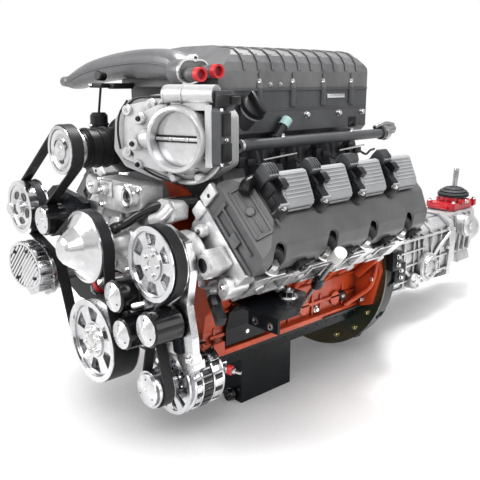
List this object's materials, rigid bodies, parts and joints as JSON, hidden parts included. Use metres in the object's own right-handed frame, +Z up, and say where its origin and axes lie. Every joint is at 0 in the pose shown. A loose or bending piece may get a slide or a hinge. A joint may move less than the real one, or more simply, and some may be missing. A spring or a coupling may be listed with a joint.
{
  "type": "supercharged v8 engine with gearbox",
  "caption": "Complete V8 crate engine with a supercharger, front accessory drive, coils, bell housing and gearbox.",
  "frame": {"origin": "middle of the overall box in X and Y, at the level the sump stands on", "axes": "+Y along the crank axis to the gearbox, +X to the throttle side, +Z up"},
  "size_m": [0.7874, 1.576, 0.782],
  "materials": {
    "block_paint": "gloss",
    "black_paint": "gloss",
    "dark_casting": "satin",
    "cast_aluminium": "cast",
    "polished_aluminium": "polished",
    "chromed": "mirror",
    "machined_steel": "machined",
    "plated_steel": "yellow passivated",
    "winding_pack": "laminated",
    "roller_plastic": "gloss",
    "coil_plastic": "matte",
    "black_plastic": "matte",
    "red_plastic": "matte",
    "red_paint": "gloss",
    "belt_rubber": "matte",
    "boot_rubber": "matte"
  },
  "bodies": {
    "engine": {"engine_block": "block_paint", "oil_pan": "black_paint", "bellhousing": "black_paint", "front_bracket_right": "black_paint", "engine_mounts": "black_paint", "valve_covers": "dark_casting", "supercharger_case": "dark_casting", "supercharger_lid": "dark_casting", "cylinder_heads": "cast_aluminium", "water_pump": "cast_aluminium", "thermostat_housing": "cast_aluminium", "front_cover": "cast_aluminium", "coolant_manifold": "cast_aluminium", "compressor_body": "cast_aluminium", "inlet_elbow": "cast_aluminium", "throttle_body": "cast_aluminium", "supercharger_snout": "cast_aluminium", "gearbox_case": "cast_aluminium", "gearbox_tail": "cast_aluminium", "power_steering_pump": "cast_aluminium", "pistons": "cast_aluminium", "front_bracket_left": "polished_aluminium", "alternator_case": "chromed", "connecting_rods": "machined_steel", "timing_chain": "machined_steel", "main_bearing_caps": "machined_steel", "head_gaskets": "machined_steel", "dipstick_tube": "machined_steel", "fuel_rails": "machined_steel", "block_plate": "plated_steel", "alternator_stator": "winding_pack", "ignition_coils": "coil_plastic", "throttle_cover": "black_plastic", "hose_plugs": "red_plastic", "shifter_base": "red_paint", "supercharger_belt": "belt_rubber", "accessory_belt": "belt_rubber", "shifter_boot": "boot_rubber"},
    "crank": {"crankshaft": "machined_steel", "crank_pulley": "polished_aluminium", "flywheel": "machined_steel"},
    "camshaft": {"camshaft": "machined_steel"},
    "water_pump_pulley": {"water_pump_pulley": "polished_aluminium"},
    "supercharger_drive": {"supercharger_pulley": "polished_aluminium", "drive_rotor": "machined_steel"},
    "driven_rotor": {"driven_rotor": "machined_steel"},
    "guide_pulley": {"guide_pulley": "polished_aluminium"},
    "smooth_idler": {"smooth_idler": "roller_plastic"},
    "compressor_pulley": {"compressor_pulley": "polished_aluminium"},
    "twin_idler": {"twin_idler": "roller_plastic"},
    "lower_idler": {"lower_idler": "roller_plastic"},
    "tensioner_arm": {"tensioner_arm": "machined_steel"},
    "tensioner_pulley": {"tensioner_pulley": "roller_plastic"},
    "power_steering_pulley": {"power_steering_pulley": "polished_aluminium"},
    "alternator_rotor": {"alternator_rotor": "machined_steel"},
    "throttle_plate": {"throttle_plate": "machined_steel"},
    "oil_filler_cap": {"oil_filler_cap": "black_plastic"},
    "dipstick": {"dipstick": "machined_steel"},
    "shift_lever": {"shift_lever": "machined_steel"},
    "output_shaft": {"output_shaft": "machined_steel"}
  },
  "joints": [
    {"name": "crank_spin", "type": "hinge", "parent": "engine", "child": "crank", "pos_m": [0.00629, -0.35, 0.191], "axis": [0, 1, 0], "continuous": true, "deforming": ["connecting_rods"]},
    {"name": "cam_spin", "type": "hinge", "parent": "engine", "child": "camshaft", "pos_m": [0.00629, -0.69, 0.321], "axis": [0, 1, 0], "continuous": true},
    {"name": "water_pump_spin", "type": "hinge", "parent": "engine", "child": "water_pump_pulley", "pos_m": [-0.00371, -0.69, 0.388], "axis": [0, 1, 0], "continuous": true},
    {"name": "supercharger_spin", "type": "hinge", "parent": "engine", "child": "supercharger_drive", "pos_m": [-0.07371, -0.69, 0.575], "axis": [0, 1, 0], "continuous": true},
    {"name": "driven_rotor_spin", "type": "hinge", "parent": "engine", "child": "driven_rotor", "pos_m": [0.01829, -0.69, 0.575], "axis": [0, 1, 0], "continuous": true},
    {"name": "guide_pulley_spin", "type": "hinge", "parent": "engine", "child": "guide_pulley", "pos_m": [-0.24771, -0.69, 0.436], "axis": [0, 1, 0], "continuous": true},
    {"name": "smooth_idler_spin", "type": "hinge", "parent": "engine", "child": "smooth_idler", "pos_m": [-0.14371, -0.69, 0.422], "axis": [0, 1, 0], "continuous": true},
    {"name": "compressor_spin", "type": "hinge", "parent": "engine", "child": "compressor_pulley", "pos_m": [-0.16571, -0.69, 0.299], "axis": [0, 1, 0], "continuous": true},
    {"name": "twin_idler_spin", "type": "hinge", "parent": "engine", "child": "twin_idler", "pos_m": [0.10229, -0.69, 0.3105], "axis": [0, 1, 0], "continuous": true},
    {"name": "lower_idler_spin", "type": "hinge", "parent": "engine", "child": "lower_idler", "pos_m": [0.12579, -0.69, 0.2405], "axis": [0, 1, 0], "continuous": true},
    {"name": "tensioner_pulley_spin", "type": "hinge", "parent": "tensioner_arm", "child": "tensioner_pulley", "pos_m": [0.20929, -0.69, 0.273], "axis": [0, 1, 0], "continuous": true},
    {"name": "power_steering_spin", "type": "hinge", "parent": "engine", "child": "power_steering_pulley", "pos_m": [0.18779, -0.69, 0.387], "axis": [0, 1, 0], "continuous": true},
    {"name": "alternator_spin", "type": "hinge", "parent": "engine", "child": "alternator_rotor", "pos_m": [0.17329, -0.69, 0.135], "axis": [0, 1, 0], "continuous": true},
    {"name": "belt_tensioner", "type": "hinge", "parent": "engine", "child": "tensioner_arm", "pos_m": [0.21829, -0.675, 0.221], "axis": [0, 1, 0], "range_deg": [0, 12]},
    {"name": "throttle_opening", "type": "hinge", "parent": "engine", "child": "throttle_plate", "pos_m": [0.18908, -0.63745, 0.6085], "axis": [0.9397, 0.342, 0], "range_deg": [0, 80]},
    {"name": "filler_cap_twist", "type": "hinge", "parent": "engine", "child": "oil_filler_cap", "pos_m": [0.14529, -0.445, 0.6264], "axis": [0.7431, 0, 0.6691], "range_deg": [0, 90]},
    {"name": "dipstick_pull", "type": "slide", "parent": "engine", "child": "dipstick", "axis": [0.671, -0.3062, 0.6752], "range_m": [0, 0.23]},
    {"name": "gear_shift", "type": "hinge", "parent": "engine", "child": "shift_lever", "pos_m": [0.00629, 0.666, 0.271], "axis": [1, 0, 0], "range_deg": [-8, 8], "deforming": ["shifter_boot"]},
    {"name": "output_spin", "type": "hinge", "parent": "engine", "child": "output_shaft", "pos_m": [0.00629, 0.75, 0.203], "axis": [0, 1, 0], "continuous": true}
  ],
  "couplings": [
    {"joint": "cam_spin", "follows": "crank_spin", "ratio": 0.5},
    {"joint": "water_pump_spin", "follows": "crank_spin", "ratio": 1.2},
    {"joint": "supercharger_spin", "follows": "crank_spin", "ratio": 1.7872},
    {"joint": "driven_rotor_spin", "follows": "crank_spin", "ratio": -1.7872},
    {"joint": "guide_pulley_spin", "follows": "crank_spin", "ratio": 1.5},
    {"joint": "smooth_idler_spin", "follows": "crank_spin", "ratio": -2.625},
    {"joint": "compressor_spin", "follows": "crank_spin", "ratio": -2.1},
    {"joint": "twin_idler_spin", "follows": "crank_spin", "ratio": -2.5767},
    {"joint": "lower_idler_spin", "follows": "crank_spin", "ratio": -2.6752},
    {"joint": "tensioner_pulley_spin", "follows": "crank_spin", "ratio": -2.5455},
    {"joint": "power_steering_spin", "follows": "crank_spin", "ratio": 1.2353},
    {"joint": "alternator_spin", "follows": "crank_spin", "ratio": 2.4}
  ]
}
